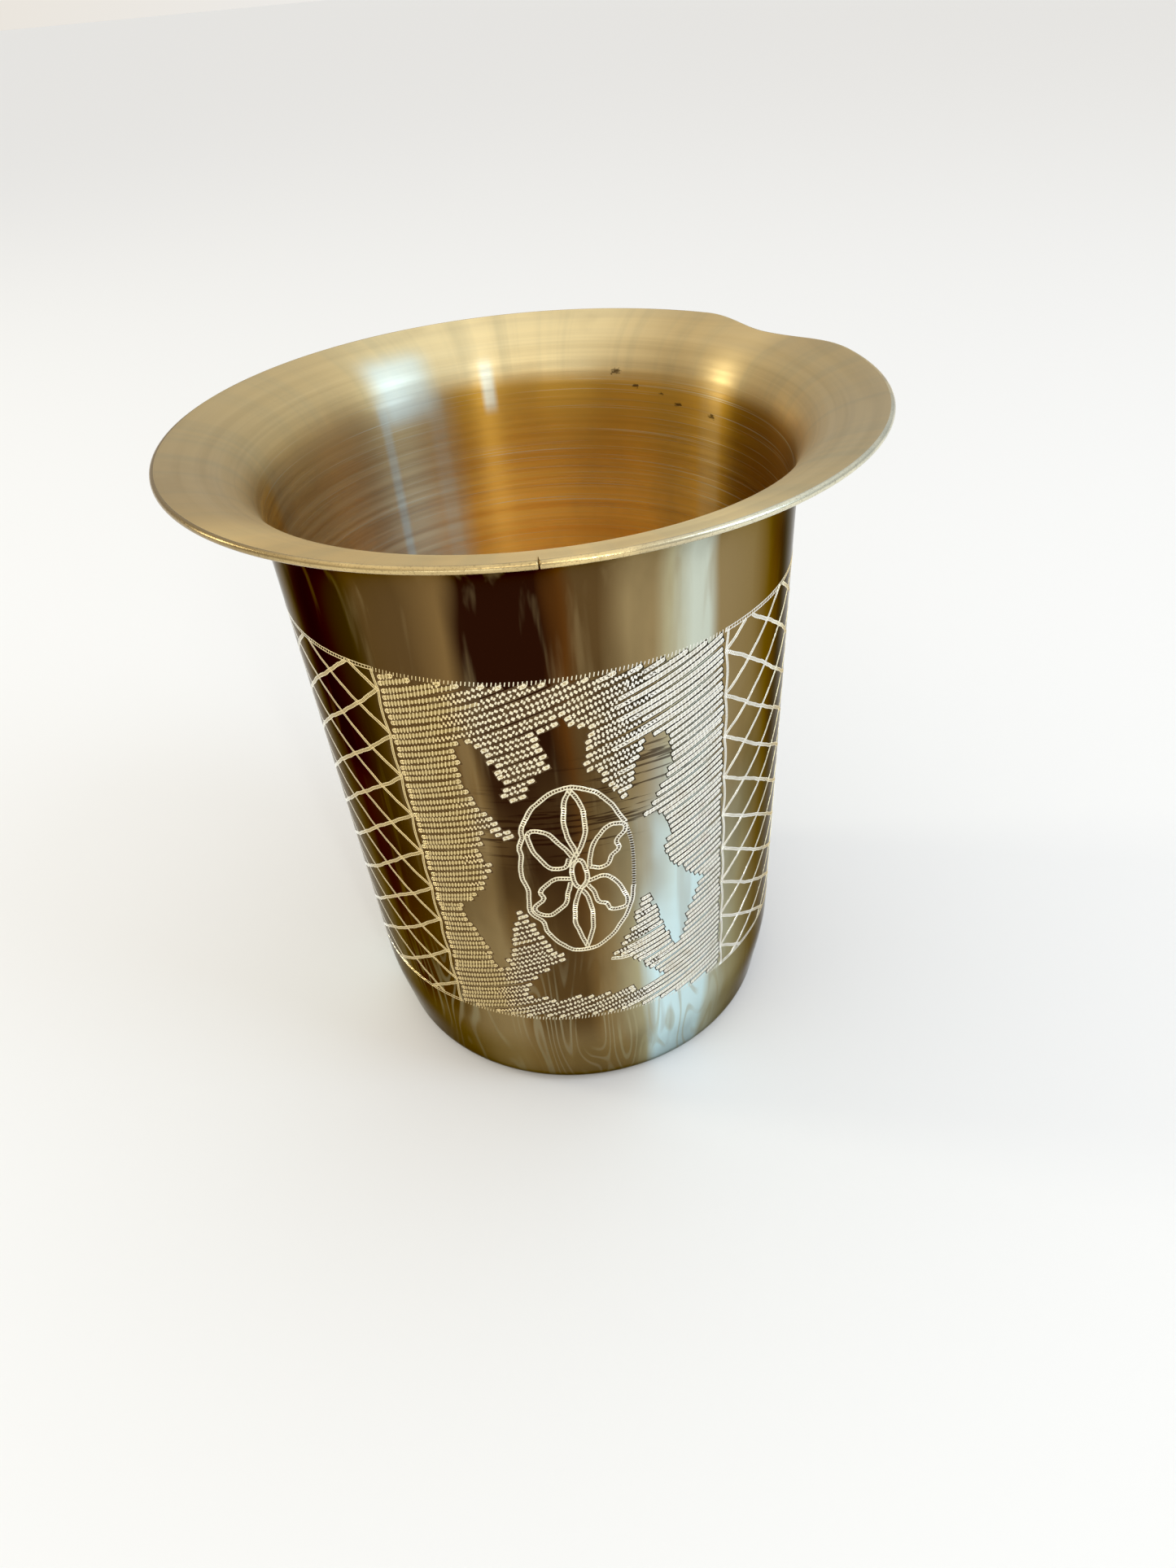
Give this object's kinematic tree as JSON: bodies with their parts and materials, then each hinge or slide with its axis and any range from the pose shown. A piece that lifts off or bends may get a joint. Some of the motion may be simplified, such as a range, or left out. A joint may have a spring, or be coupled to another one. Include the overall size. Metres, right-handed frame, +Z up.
{
  "type": "panchpatra",
  "caption": "Brass ritual water cup: a tapering cylinder with a wide flared mouth, thin rounded lip, soft heel and an engraved band of lattice and leaf panels round the wall.",
  "frame": {"origin": "centre of the base, on the face that the cup rests on", "axes": "+Z up along the cup's axis; -Y is the middle of one engraved leaf panel"},
  "size_m": [0.085, 0.085, 0.0894],
  "materials": {
    "polished_brass": "spun sheet brass, polished outside and satin with fine turning scratches inside",
    "engraved_brass": "bright wriggle-cut engraving in the polished wall"
  },
  "bodies": {
    "root": {"vessel": "polished_brass"}
  },
  "joints": []
}
